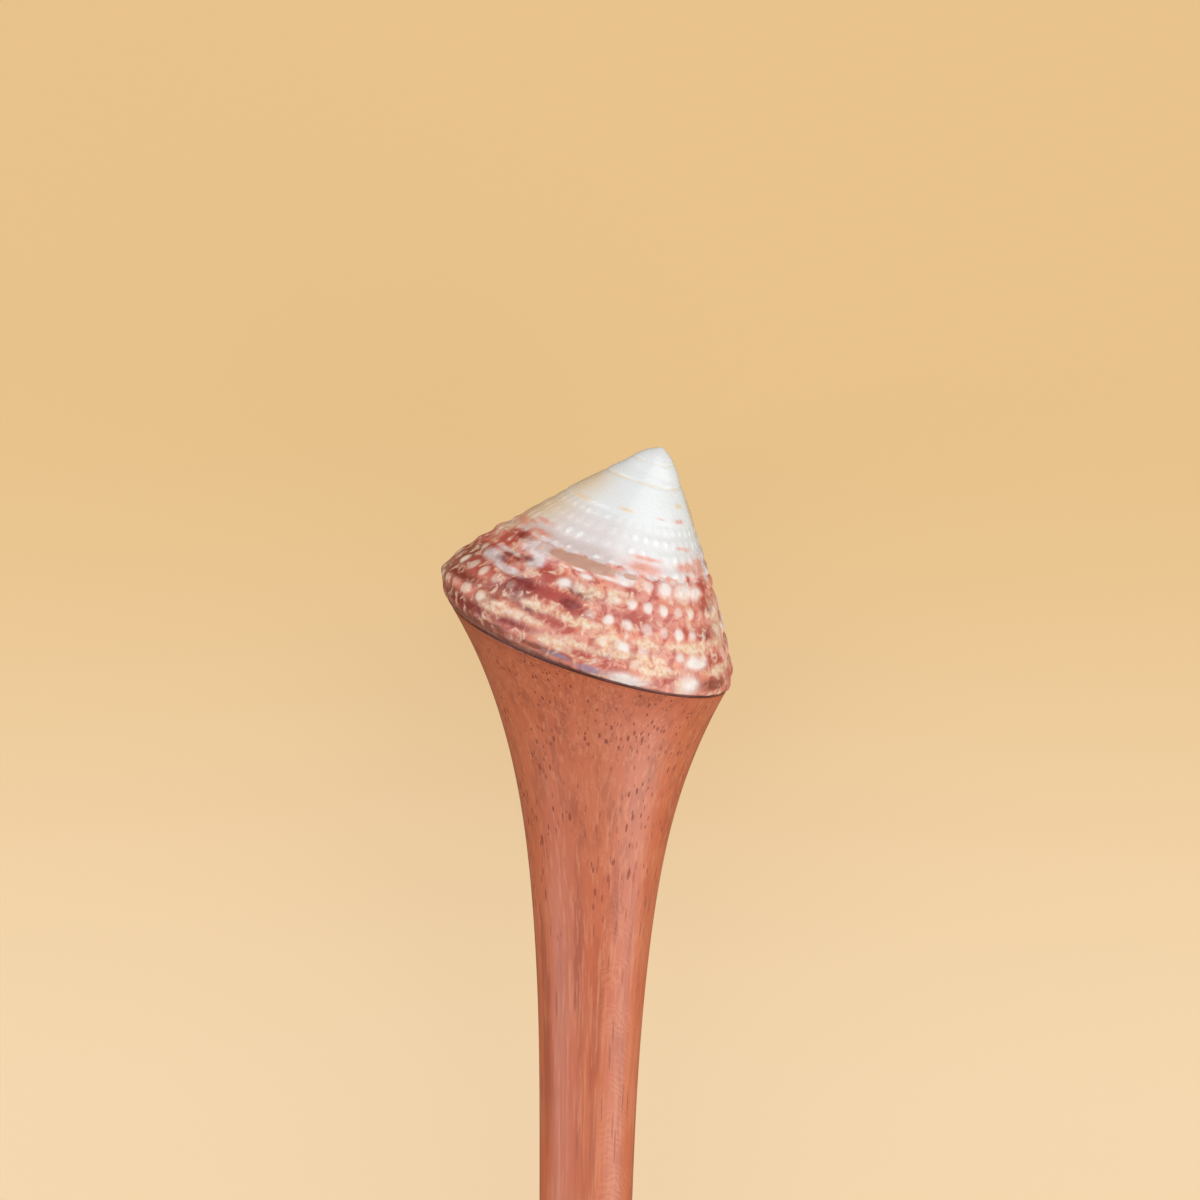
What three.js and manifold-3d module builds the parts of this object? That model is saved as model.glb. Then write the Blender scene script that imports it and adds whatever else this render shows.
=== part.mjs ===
// Hair stick with a shell head: a worn, beaded top shell glued on the slanted, flared end
// of a turned hardwood stick. The stick is modelled along its own axis with the head up,
// and the whole is then laid down as it rests on a table: head towards +Y, tip towards -Y.
// Millimetres, +Z up in the finished pose.
import * as THREE from 'three';
import { mergeVertices } from 'three/addons/utils/BufferGeometryUtils.js';
import Module from 'manifold-3d';

// Stick: radius law of the flare, and how the sections lean towards the slanted rim.
const STICK_LENGTH = 113;
const RIM_RADIUS = 10.39;
const SHAFT_RADIUS = 3.22;
const FLARE_LENGTH = 10.68;
const RIM_LEAN_SIDE = 16.6;
const RIM_LEAN_FRONT = 6.9;
const LEAN_FADE_LENGTH = 9.37;
const RIM_OFFSET = -0.576;
const CENTRE_SWING = 1.114;
const CENTRE_FADE_LENGTH = 5.76;
const TAPER_START = 40;
const TAPER_LOSS = 0.42;
const TAPER_POWER = 1.5;
const TIP_ROUNDING = 3.2;

// Glue seam between the wood and the ground base of the shell.
const GLUE_RADIUS = 10.15;
const GLUE_THICKNESS = 0.3;
const SEAM_GAP = 0.03;

// Shell: its outline, given by the radii of the side and of the underside at one depth below
// the apex, and the spiral law of the sutures.
const SHELL_HEIGHT = 15.52;
const SHELL_LEAN = 4.73;
const APEX_OFFSET = 0.605;
const OUTLINE_DEPTH = 13.5;
const SIDE_RADIUS = 11.1;
const SIDE_POWER = 0.84;
const UNDERSIDE_RADIUS = 14.575;
const UNDERSIDE_SLOPE = 1.672;
const PERIPHERY_SHARPNESS = 0.62;
const FIRST_SUTURE_DEPTH = 1.076;
const SPIRAL_POWER = 0.3;
const SPIRAL_GROWTH = 0.2622;
const WHORL_RELIEF = 0.12;
const RELIEF_PER_DEPTH = 0.022;
const RELIEF_SKEW = 1.3;
const SHELL_END_DEPTH = 17.2;

// Rest: slope of the stick's axis when it lies on its tip and on the flat of the shell.
const REST_SLOPE = 4.38;

// Fineness of the meshes.
const STICK_SEGMENTS = 44;
const STICK_RINGS = 30;
const RING_CROWDING = 1.6;
const TIP_RINGS = 4;
const SHELL_SEGMENTS = 60;
const RINGS_PER_WHORL = 5;
const APEX_RINGS = 2;
const CUTTER_SIZE = 80;

const radians = THREE.MathUtils.degToRad;
const wasm = await Module();
wasm.setup();

// A closed mesh with merged corners, as a solid that can be cut.
function toSolid(geometry) {
  const bare = geometry.clone();
  bare.deleteAttribute('normal');
  bare.deleteAttribute('uv');
  const merged = mergeVertices(bare, 1e-4);
  const index = Array.from(merged.index.array);
  const corners = [];
  for (let i = 0; i < index.length; i += 3) {
    const [a, b, c] = index.slice(i, i + 3);
    if (a !== b && b !== c && c !== a) {
      corners.push(a, b, c);
    }
  }
  return new wasm.Manifold(new wasm.Mesh({
    numProp: 3,
    vertProperties: new Float32Array(merged.attributes.position.array),
    triVerts: new Uint32Array(corners),
  }));
}

function toGeometry(solid) {
  const mesh = solid.getMesh();
  const geometry = new THREE.BufferGeometry();
  geometry.setAttribute('position', new THREE.BufferAttribute(mesh.vertProperties, 3));
  geometry.setIndex(new THREE.BufferAttribute(mesh.triVerts, 1));
  geometry.computeVertexNormals();
  return geometry;
}

// A lathe about +Z, whose corners are then moved by a rule of their own.
function lathe(outline, segments, moveCorner) {
  const geometry = new THREE.LatheGeometry(outline, segments);
  geometry.rotateX(Math.PI / 2);
  const position = geometry.attributes.position;
  const corner = new THREE.Vector3();
  for (let i = 0; i < position.count; i += 1) {
    corner.fromBufferAttribute(position, i);
    moveCorner(corner);
    position.setXYZ(i, corner.x, corner.y, corner.z);
  }
  return geometry;
}

// Radius of the stick at a distance down from the rim.
function stickRadius(down) {
  const flare = SHAFT_RADIUS + (RIM_RADIUS - SHAFT_RADIUS) * Math.exp(-down / FLARE_LENGTH);
  const along = Math.max(0, (down - TAPER_START) / (STICK_LENGTH - TAPER_START));
  const taper = 1 - TAPER_LOSS * along ** TAPER_POWER;
  const intoTip = Math.max(0, (down - STICK_LENGTH + TIP_ROUNDING) / TIP_ROUNDING);
  return flare * taper * Math.sqrt(Math.max(0, 1 - intoTip ** 2));
}

// The slant of a section: full at the rim, fading to square across the shaft.
function sectionLean(down) {
  const fade = Math.exp(-down / LEAN_FADE_LENGTH);
  return new THREE.Euler(radians(RIM_LEAN_FRONT) * fade, radians(RIM_LEAN_SIDE) * fade, 0, 'YXZ');
}

function sectionOffset(down) {
  const swing = RIM_OFFSET + CENTRE_SWING * down / CENTRE_FADE_LENGTH;
  return swing * Math.exp(-down / CENTRE_FADE_LENGTH);
}

function stickGeometry() {
  const outline = [new THREE.Vector2(0, -STICK_LENGTH)];
  for (let i = TIP_RINGS - 1; i > 0; i -= 1) {
    const down = STICK_LENGTH - TIP_ROUNDING * (1 - Math.sin(i / TIP_RINGS * Math.PI / 2));
    outline.push(new THREE.Vector2(stickRadius(down), -down));
  }
  for (let i = STICK_RINGS; i >= 0; i -= 1) {
    const down = (STICK_LENGTH - TIP_ROUNDING) * (i / STICK_RINGS) ** RING_CROWDING;
    outline.push(new THREE.Vector2(stickRadius(down), -down));
  }
  outline.push(new THREE.Vector2(0, 0));
  return lathe(outline, STICK_SEGMENTS, (corner) => {
    const down = -corner.z;
    corner.z = 0;
    corner.applyEuler(sectionLean(down));
    corner.x += sectionOffset(down);
    corner.z -= down;
  });
}

function glueGeometry() {
  const low = SEAM_GAP;
  const high = GLUE_THICKNESS - SEAM_GAP;
  const middle = (low + high) / 2;
  const outline = [
    new THREE.Vector2(0, low),
    new THREE.Vector2(GLUE_RADIUS - middle, low),
    new THREE.Vector2(GLUE_RADIUS, middle),
    new THREE.Vector2(GLUE_RADIUS - middle, high),
    new THREE.Vector2(0, high),
  ];
  return lathe(outline, STICK_SEGMENTS, () => {});
}

// Radius of the shell at a depth below the apex: the side and the underside of the last
// whorl, blended into a rounded periphery.
function shellRadius(depth) {
  const side = SIDE_RADIUS * (depth / OUTLINE_DEPTH) ** SIDE_POWER;
  const underside = UNDERSIDE_RADIUS - UNDERSIDE_SLOPE * (depth - OUTLINE_DEPTH);
  const near = Math.min(side, underside);
  const rest = Math.exp(-PERIPHERY_SHARPNESS * Math.abs(side - underside));
  return Math.max(0, near - Math.log(1 + rest) / PERIPHERY_SHARPNESS);
}

// Turns of growth at a depth, and the depth at a number of turns.
function turnsAt(depth) {
  return ((depth / FIRST_SUTURE_DEPTH) ** SPIRAL_POWER - 1) / SPIRAL_GROWTH;
}

function depthAt(turns) {
  return FIRST_SUTURE_DEPTH * (1 + SPIRAL_GROWTH * turns) ** (1 / SPIRAL_POWER);
}

// Each whorl swells above its suture and is pinched in at it.
function whorlRelief(depth, angle) {
  const turns = turnsAt(depth) + angle / (2 * Math.PI);
  const across = turns - Math.floor(turns);
  const height = Math.min(WHORL_RELIEF, RELIEF_PER_DEPTH * depth);
  return -height * Math.cos(2 * Math.PI * across ** RELIEF_SKEW);
}

// The shell about its own axis, apex at the origin, before its base is ground flat.
function shellBlank() {
  const depths = [];
  for (let i = 1; i <= APEX_RINGS; i += 1) {
    depths.push(depthAt(0) * (i / (APEX_RINGS + 1)));
  }
  for (let turns = 0; depthAt(turns) < SHELL_END_DEPTH; turns += 1 / RINGS_PER_WHORL) {
    depths.push(depthAt(turns));
  }
  depths.push(SHELL_END_DEPTH);
  const outline = [new THREE.Vector2(0, -SHELL_END_DEPTH)];
  for (const depth of depths.reverse()) {
    outline.push(new THREE.Vector2(shellRadius(depth), -depth));
  }
  outline.push(new THREE.Vector2(0, 0));
  return lathe(outline, SHELL_SEGMENTS, (corner) => {
    const radius = Math.hypot(corner.x, corner.y);
    if (radius > 0.01) {
      const relief = whorlRelief(-corner.z, Math.atan2(corner.y, corner.x));
      const swell = (radius + relief) / radius;
      corner.x *= swell;
      corner.y *= swell;
    }
  });
}

// A large block whose top face lies in the plane z = 0.
function blockBelow() {
  const block = new THREE.BoxGeometry(CUTTER_SIZE, CUTTER_SIZE, CUTTER_SIZE);
  return block.translate(0, 0, -CUTTER_SIZE / 2);
}

// Nested frames: the laid-down stick, and on it the slanted head above the rim.
const hairStick = new THREE.Group();
const lying = new THREE.Group();
lying.rotation.x = radians(REST_SLOPE - 90);
const head = new THREE.Group();
head.position.x = RIM_OFFSET;
head.rotation.copy(sectionLean(0));
lying.add(head);
hairStick.add(lying);

const stick = new THREE.Mesh(
  toGeometry(toSolid(stickGeometry())),
  new THREE.MeshStandardMaterial({ color: '#b5694b', roughness: 0.45, metalness: 0 }),
);
stick.name = 'wooden_stick';
lying.add(stick);

const glue = new THREE.Mesh(
  toGeometry(toSolid(glueGeometry())),
  new THREE.MeshStandardMaterial({ color: '#4a2a22', roughness: 0.3, metalness: 0 }),
);
glue.name = 'glue_seam';
head.add(glue);

// The stick's tip touches the table, which sets the height of the table's plane.
hairStick.updateMatrixWorld(true);
const tableHeight = new THREE.Box3().setFromObject(stick, true).min.z;

// The base is ground along the seam, and a small flat on the hidden side of the last whorl,
// in the table's plane, keeps the round head from rolling.
const placeOnHead = new THREE.Matrix4().makeRotationY(radians(SHELL_LEAN));
placeOnHead.setPosition(APEX_OFFSET, 0, SHELL_HEIGHT);
const tableFromHead = head.matrixWorld.clone().invert();
tableFromHead.multiply(new THREE.Matrix4().makeTranslation(0, 0, tableHeight));
const shellBody = toSolid(shellBlank().applyMatrix4(placeOnHead))
  .subtract(toSolid(blockBelow().translate(0, 0, GLUE_THICKNESS)))
  .subtract(toSolid(blockBelow().applyMatrix4(tableFromHead)));
const shell = new THREE.Mesh(
  toGeometry(shellBody),
  new THREE.MeshStandardMaterial({ color: '#d9b3a2', roughness: 0.3, metalness: 0 }),
);
shell.name = 'top_shell';
head.add(shell);

// Origin at the middle of the footprint, on the table.
hairStick.updateMatrixWorld(true);
const box = new THREE.Box3().setFromObject(hairStick, true);
lying.position.set(-(box.min.x + box.max.x) / 2, -(box.min.y + box.max.y) / 2, -tableHeight);
hairStick.updateMatrixWorld(true);

export default hairStick;
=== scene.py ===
import math

import bmesh
import bpy
from bpy.props import FloatProperty, FloatVectorProperty, IntProperty, PointerProperty
from mathutils import Matrix, Vector, noise


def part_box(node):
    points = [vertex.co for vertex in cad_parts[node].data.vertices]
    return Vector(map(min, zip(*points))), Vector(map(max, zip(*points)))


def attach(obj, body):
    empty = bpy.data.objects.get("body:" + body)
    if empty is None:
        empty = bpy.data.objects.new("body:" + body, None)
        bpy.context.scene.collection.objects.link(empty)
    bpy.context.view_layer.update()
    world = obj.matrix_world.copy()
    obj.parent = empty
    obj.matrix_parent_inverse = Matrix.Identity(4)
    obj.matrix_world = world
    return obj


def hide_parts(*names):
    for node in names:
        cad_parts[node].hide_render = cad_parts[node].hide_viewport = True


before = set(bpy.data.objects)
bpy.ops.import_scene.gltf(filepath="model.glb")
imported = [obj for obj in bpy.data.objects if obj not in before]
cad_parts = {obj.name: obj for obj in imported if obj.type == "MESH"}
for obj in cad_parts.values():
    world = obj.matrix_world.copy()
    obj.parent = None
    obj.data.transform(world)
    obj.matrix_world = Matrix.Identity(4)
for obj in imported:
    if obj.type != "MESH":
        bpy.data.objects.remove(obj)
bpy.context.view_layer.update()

bl_info = {
    "name": "Shell hair stick",
    "version": (1, 0, 0),
    "blender": (4, 5, 0),
    "location": "3D View > Sidebar > Hair stick",
    "description": "A worn top shell glued on the slanted end of a turned wooden stick",
    "category": "Add Mesh",
}

# The CAD model's box, straight after loading.
GLUE_LOW, GLUE_HIGH = (Vector(corner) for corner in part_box("glue_seam"))

MM = 0.001
FULL_TURN = 2 * math.pi
NEAR_AXIS = 1e-6


# ---- Sizes and colours a user would change

def length(name, description, default):
    return FloatProperty(name=name, description=description, default=default, unit="LENGTH",
                         precision=5)


def angle(name, description, degrees):
    return FloatProperty(name=name, description=description, default=math.radians(degrees),
                         unit="ROTATION")


def number(name, description, default):
    return FloatProperty(name=name, description=description, default=default, precision=4)


def colour(name, description, default):
    return FloatVectorProperty(name=name, description=description, default=default, size=3,
                               subtype="COLOR", min=0.0, max=1.0)


class StickSizes(bpy.types.PropertyGroup):
    """The turned stick and how its sections lean towards the slanted rim."""

    stick_length: length("Length", "From the middle of the rim to the tip", 0.113)
    rim_radius: length("Rim radius", "Radius of the flared end", 0.01039)
    shaft_radius: length("Shaft radius", "Radius the flare fades to", 0.00322)
    flare_length: length("Flare length", "How fast the flare fades", 0.01068)
    lean_side: angle("Side lean", "Slant of the rim to the right", 16.6)
    lean_front: angle("Front lean", "Slant of the rim to the front", 6.9)
    lean_fade: length("Lean fade", "How fast the slant fades down the stick", 0.00937)
    rim_offset: length("Rim offset", "Rim centre to the side of the axis", -0.000576)
    centre_swing: length("Centre swing", "How far the centres swing back", 0.001114)
    centre_fade: length("Centre fade", "How fast the swing fades", 0.00576)
    taper_start: length("Taper start", "Where the shaft starts to taper", 0.040)
    taper_loss: number("Taper loss", "Share of the radius lost at the tip", 0.42)
    taper_power: number("Taper power", "How late the taper comes", 1.5)
    tip_rounding: length("Tip rounding", "Length of the rounded tip", 0.0032)
    rest_slope: angle("Rest slope", "Slope of the axis when the stick lies down", 4.38)
    carving: length("Carving", "Unevenness left by hand sanding", 0.00004)


class ShellSizes(bpy.types.PropertyGroup):
    """The outline of the shell, its spiral and its sculpture."""

    height: length("Height", "Apex above the wooden rim", 0.01552)
    lean: angle("Lean", "Lean of the shell's axis to the right", 4.73)
    apex_offset: length("Apex offset", "Apex to the side of the rim's centre", 0.000605)
    outline_depth: length("Outline depth", "Depth at which both radii are given", 0.0135)
    side_radius: length("Side radius", "Radius of the cone's side at that depth", 0.0111)
    side_power: number("Side power", "Below 1 the side bulges", 0.84)
    underside_radius: length("Underside radius", "Underside at that depth", 0.014575)
    underside_slope: number("Underside slope", "Radius lost per depth", 1.672)
    periphery_length: length("Periphery", "Softness of the widest part", 0.001613)
    first_suture: length("First suture", "Depth of the first suture", 0.001076)
    spiral_power: number("Spiral power", "Power of the spiral's growth", 0.3)
    spiral_growth: number("Spiral growth", "Growth for each turn", 0.2622)
    blunting: length("Blunting", "Worn away at the apex", 0.00022)
    apex_rounding: length("Apex rounding", "Depth of the rounded apex", 0.00055)
    end_depth: length("End depth", "Where the blank ends below the seam", 0.0172)
    suture_depth: length("Suture depth", "Groove between two whorls", 0.00016)
    whorl_swell: length("Whorl swell", "Swelling low on each whorl", 0.00007)
    cord_height: length("Cord height", "Height of the spiral cords", 0.00006)
    bead_height: length("Bead height", "Height of the beads on the cords", 0.00013)
    worn_layer: length("Worn layer", "Thickness lost towards the apex", 0.00018)
    sinking: length("Sinking", "Ground below the plain outline", 0.00010)
    pitting: length("Pitting", "Small pits and lumps of the old surface", 0.000035)
    columns: IntProperty(name="Columns", description="Beads in one turn", default=42)
    top_columns: IntProperty(name="Top columns", description="Beads of the top row", default=34)
    flat_gap: length("Seam thickness", "Glue between the wood and the shell", 0.0003)


class Finishes(bpy.types.PropertyGroup):
    """Colours of the shell, the glue, the wood and the table."""

    nacre: colour("Nacre", "Worn white nacre", (0.80, 0.835, 0.845))
    pearl: colour("Pearl", "Lilac-grey worn layer", (0.78, 0.72, 0.715))
    # Painted highlight: glints painted on the nacre's bead tops.
    glint: colour("Glint", "Polished bead tops on the nacre", (0.93, 0.95, 0.95))
    # Mauve, used as a painted dark reflection band and as painted shade between the beads, and
    # as a darker tone in worn pearl spots.
    mauve_tone_and_painted_shade: colour("Dusk", "Mauve shade of the pearl", (0.64, 0.54, 0.52))
    # Tan stains, and also painted along the shell's left and right edges as reflection of the
    # warm surroundings.
    tan: colour("Tan", "Old stain on the nacre", (0.84, 0.65, 0.41))
    salmon: colour("Salmon", "Thin edge of the coloured layer", (0.78, 0.27, 0.175))
    pink: colour("Pink", "Pink ground of the rows", (0.74, 0.30, 0.235))
    rose: colour("Rose", "Red marks of the coloured layer", (0.47, 0.080, 0.058))
    maroon: colour("Maroon", "Darkest marks", (0.20, 0.020, 0.019))
    # Brown, also painted as shade down the shell's left side.
    brown: colour("Brown", "Brown marks near the seam", (0.25, 0.065, 0.038))
    # Cream, also painted along the shell's right edge as a rim light.
    cream: colour("Cream", "Cream clouds and flecks", (0.83, 0.63, 0.41))
    bead: colour("Bead", "Whitish bead tops", (0.88, 0.82, 0.775))
    cream_bead: colour("Cream bead", "Yellower bead tops", (0.87, 0.74, 0.59))
    # Painted reflection: this brown stands for dark surroundings mirrored in the polished nacre.
    mirror: colour("Mirror nacre", "Brown nacre worn to a mirror", (0.56, 0.31, 0.225))
    violet: colour("Violet", "Violet nacre at the seam", (0.33, 0.26, 0.38))
    glue: colour("Glue", "Set glue", (0.105, 0.034, 0.026))
    wood: colour("Wood", "Middle tone of the wood", (0.555, 0.132, 0.053))
    wood_light: colour("Light wood", "Light streaks", (0.67, 0.235, 0.118))
    wood_dark: colour("Dark wood", "Dark streaks", (0.42, 0.095, 0.040))
    pore: colour("Pores", "Open pores of the wood", (0.245, 0.036, 0.016))
    # Painted light: the table gives off these colours as a glow, darker towards its far side.
    table_far_painted_dim: colour("Far table", "The table's far side", (0.795, 0.536, 0.253))
    table: colour("Table", "Pale table top", (0.905, 0.680, 0.425))


# ---- Places: the lying stick, its slanted head and the shell's own axis

def head_turn(sizes):
    return (Matrix.Rotation(sizes.lean_side, 4, "Y")
            @ Matrix.Rotation(sizes.lean_front, 4, "X"))


def stick_place(scene):
    """The stick's axis as Z, with the middle of its rim near the origin."""
    sizes, shell = scene.stick_sizes, scene.shell_sizes
    lay_down = Matrix.Rotation(sizes.rest_slope - math.pi / 2, 4, "X")
    head = (lay_down @ Matrix.Translation((sizes.rim_offset, 0, 0)) @ head_turn(sizes)
            @ Matrix.Translation((0, 0, shell.flat_gap / 2)))
    glue_centre = (GLUE_LOW + GLUE_HIGH) / 2
    return Matrix.Translation(glue_centre - head.translation) @ lay_down


def head_place(scene):
    """The middle of the rim, with Z square to the slanted seam."""
    sizes = scene.stick_sizes
    return (stick_place(scene) @ Matrix.Translation((sizes.rim_offset, 0, 0))
            @ head_turn(sizes))


def shell_place(scene):
    """The shell's apex, with the spiral's axis as Z."""
    sizes = scene.shell_sizes
    return (head_place(scene) @ Matrix.Translation((sizes.apex_offset, 0, sizes.height))
            @ Matrix.Rotation(sizes.lean, 4, "Y"))


# ---- Shapes

def clamp(value, low=0.0, high=1.0):
    return max(low, min(high, value))


def smooth(value, low, high):
    t = clamp((value - low) / (high - low))
    return t * t * (3 - 2 * t)


def blend(first, second, share):
    return first + (second - first) * share


def spun(outline, steps):
    """A closed solid of revolution about Z from an outline of (radius, height) points."""
    bm = bmesh.new()
    verts = [bm.verts.new((radius, 0, height)) for radius, height in outline]
    edges = [bm.edges.new(pair) for pair in zip(verts, verts[1:])]
    bmesh.ops.spin(bm, geom=verts + edges, cent=(0, 0, 0), axis=(0, 0, 1), angle=FULL_TURN,
                   steps=steps, use_merge=True, use_duplicate=False)
    bmesh.ops.remove_doubles(bm, verts=bm.verts[:], dist=1e-7)
    bmesh.ops.recalc_face_normals(bm, faces=bm.faces[:])
    return bm


def push_out(vert, distance):
    """Moves a vertex of a spun solid away from its axis."""
    radius = math.hypot(vert.co.x, vert.co.y)
    vert.co.x *= 1 + distance / radius
    vert.co.y *= 1 + distance / radius


def finished(bm, name, material, node):
    """Turns a bmesh into the piece that stands for a CAD node."""
    for face in bm.faces:
        face.smooth = True
    mesh = bpy.data.meshes.new(name)
    bm.to_mesh(mesh)
    bm.free()
    mesh.materials.append(material)
    piece = bpy.data.objects.new(name, mesh)
    bpy.context.scene.collection.objects.link(piece)
    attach(piece, "root")
    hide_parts(node)
    return piece


def stick_radius(sizes, down):
    flare = sizes.shaft_radius + (sizes.rim_radius - sizes.shaft_radius) * math.exp(
        -down / sizes.flare_length)
    along = max(0.0, (down - sizes.taper_start) / (sizes.stick_length - sizes.taper_start))
    taper = 1 - sizes.taper_loss * along ** sizes.taper_power
    into_tip = clamp((down - sizes.stick_length + sizes.tip_rounding) / sizes.tip_rounding)
    return flare * taper * math.sqrt(1 - into_tip ** 2)


def section_place(sizes, down):
    """Where a section of the stick sits: slanted at the rim, square down the shaft."""
    fade = math.exp(-down / sizes.lean_fade)
    swing = sizes.rim_offset + sizes.centre_swing * down / sizes.centre_fade
    side = swing * math.exp(-down / sizes.centre_fade)
    return (Matrix.Translation((side, 0, -down))
            @ Matrix.Rotation(sizes.lean_side * fade, 4, "Y")
            @ Matrix.Rotation(sizes.lean_front * fade, 4, "X"))


def shell_radius(sizes, depth):
    """The side and the underside of the last whorl, blended at the widest part."""
    blunt = clamp((depth - sizes.blunting) / sizes.apex_rounding)
    side = sizes.side_radius * (depth / sizes.outline_depth) ** sizes.side_power
    underside = sizes.underside_radius - sizes.underside_slope * (depth - sizes.outline_depth)
    soft = sizes.periphery_length
    rounded_off = soft * math.log1p(math.exp(-abs(side - underside) / soft))
    return max(0.0, min(side, underside) - rounded_off) * math.sqrt(blunt * (2 - blunt))


# The front angle, in degrees, at which the first suture has its stated depth.
SPIRAL_START = 90.0


class Spiral:
    """Where a point of the shell lies on its spiral.

    front: azimuth from the front in degrees, positive to the right.
    whorl: count of the whorl; across: 0 at the suture above it and 1 at the one below.
    row: place between the bead rows, whole on a row; column: place between the beads.
    """

    SUTURE_SHIFT = 0.05
    LAST_WHORL = 3
    LIP_FRONT, LIP_FADED_FRONT = 110.0, 150.0
    FIRST_ROW, LOWER_FIRST_ROW = 0.13, 0.175
    ROW_SPACING, LOWER_ROW_SPACING = 0.2667, 0.283
    COLUMN_CENTRE, TOP_COLUMN_CENTRE = 22.0, 20.0

    def __init__(self, sizes, front, depth):
        self.front = front
        growth = (max(depth, 1e-6) / sizes.first_suture) ** sizes.spiral_power - 1
        self.turns = growth / sizes.spiral_growth
        self.height = self.turns + (front - SPIRAL_START) / 360
        last = self.LAST_WHORL + 1 if front > self.LIP_FRONT else self.LAST_WHORL
        self.whorl = min(math.floor(self.height + self.SUTURE_SHIFT), last)
        self.across = self.height + self.SUTURE_SHIFT - self.whorl
        spread = clamp((self.turns - 3.0) / 0.5)
        first_row = blend(self.FIRST_ROW, self.LOWER_FIRST_ROW, spread)
        spacing = blend(self.ROW_SPACING, self.LOWER_ROW_SPACING, spread)
        self.row = (self.across - first_row) / spacing
        top_row = self.row < 0.5 and self.whorl >= self.LAST_WHORL
        count = sizes.top_columns if top_row else sizes.columns
        centre = self.TOP_COLUMN_CENTRE if top_row else self.COLUMN_CENTRE
        self.column = (front - centre) * count / 360


def ripple(point, scale, seed):
    """Smooth noise from -1 to 1 at a place in metres, with bumps of the given size."""
    return noise.noise(point / scale + Vector((seed, seed * 1.7, -seed)))


# How plainly each suture shows, counted from the apex: the worn ones hardly do.
SUTURE_STRENGTH = {0: 0.8, 1: 0.8, 2: 0.12, 3: 0.12}
SUTURE_WIDTH = 0.05
BEAD_REACH = 0.43
CORD_REACH = 0.36


def suture_groove(spiral):
    """1 in the middle of the groove between two whorls, 0 away from it."""
    nearest = round(spiral.height + Spiral.SUTURE_SHIFT)
    strength = SUTURE_STRENGTH.get(nearest, 0.0)
    if nearest == Spiral.LAST_WHORL + 1:
        strength = smooth(spiral.front, Spiral.LIP_FRONT, Spiral.LIP_FADED_FRONT)
    off = spiral.height + Spiral.SUTURE_SHIFT - nearest
    return strength * math.exp(-(off / SUTURE_WIDTH) ** 2)


def bead_dome(spiral, point):
    """1 at the middle of a bead falling to 0 at its edge, and the bead's own tone."""
    warp = 0.14 * ripple(point, 0.0022, 7.7)
    row, column = round(spiral.row), round(spiral.column + warp)
    off_row = (spiral.row - row) / BEAD_REACH
    off_column = (spiral.column + warp - column) / BEAD_REACH
    tone = noise.cell(Vector((row * 3.1 + 0.5, column * 2.3 + 0.5, 0.5)))
    return max(0.0, 1 - off_row ** 2 - off_column ** 2), tone


def shell_relief(sizes, spiral, point):
    """Height of the sculpture above the plain cone, and the masks the finish reads."""
    size = clamp(spiral.turns / 3.0)
    wear = smooth(spiral.height + 0.25 * ripple(point, 0.004, 3.1), 2.6, 3.25)
    groove = suture_groove(spiral)
    swell = smooth(spiral.across, 0.1, 0.75)
    if spiral.whorl < Spiral.LAST_WHORL:
        swell *= 1 - smooth(spiral.across, 0.92, 1.05)
    off_row = abs(spiral.row - round(spiral.row))
    cord = max(0.0, 1 - (off_row / CORD_REACH) ** 2)
    dome, tone = bead_dome(spiral, point)
    if spiral.whorl < Spiral.LAST_WHORL:
        cord *= smooth(1 - spiral.across, 0.0, 0.07)
        dome *= smooth(1 - spiral.across, 0.0, 0.05)
    cord *= smooth(spiral.across, 0.0, 0.07)
    present = smooth(spiral.height, 1.9, 2.15)
    strength = (0.42 + 0.58 * wear) * present
    bead_size = 0.75 + 0.5 * tone
    lumps = sizes.pitting * (0.12 + 0.88 * wear)
    rough = lumps * (ripple(point, 0.0009, 5.5) + 0.7 * ripple(point, 0.0004, 9.1))
    height = (-sizes.suture_depth * groove * (0.35 + 0.65 * size)
              + sizes.whorl_swell * swell * size
              + sizes.cord_height * cord * strength
              + sizes.bead_height * dome ** 1.5 * bead_size * strength
              + rough * size - sizes.sinking * present * strength)
    outer_layer = smooth(spiral.height + 0.12 * ripple(point, 0.0015, 6.3), 2.80, 3.06)
    height -= sizes.worn_layer * (1 - outer_layer) * clamp(spiral.turns / 0.8) ** 2
    return height, dome * present, tone, groove


def mark_strength(marks, front, height):
    """1 inside the nearest of a set of soft oval marks, 0.5 on its edge, 0 far away."""
    strength = 0.0
    for mark_front, mark_height, half_width, half_height in marks:
        aside = (front - mark_front) / half_width
        above = (height - mark_height) / half_height
        reach = aside * aside + above * above
        if reach < 16:
            strength = max(strength, 1 / (1 + reach * reach))
    return strength


# Length of the shell's outline from the apex to the end of the blank, in metres.
OUTLINE_LENGTH = 0.0206

SHELL_MESH = {True: (300, 90), False: (560, 168)}
STICK_MESH = {True: (120, 120), False: (220, 230)}
GLUE_STEPS, GLUE_ROUNDING_STEPS = 300, 8
TIP_STEPS = 12


def shell_blank(sizes, steps, rings):
    """The cone, with rings set closer together where the outline bends."""
    outline = [(0.0, -sizes.blunting)]
    depth = sizes.blunting
    step = 0.02 * MM
    while depth < sizes.end_depth:
        ahead = shell_radius(sizes, depth + step) - shell_radius(sizes, depth)
        slant = math.hypot(ahead, step) / step
        depth = min(sizes.end_depth, depth + OUTLINE_LENGTH / rings / slant)
        outline.append((shell_radius(sizes, depth), -depth))
    outline.append((0.0, -sizes.end_depth))
    return spun(outline, steps)


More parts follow.
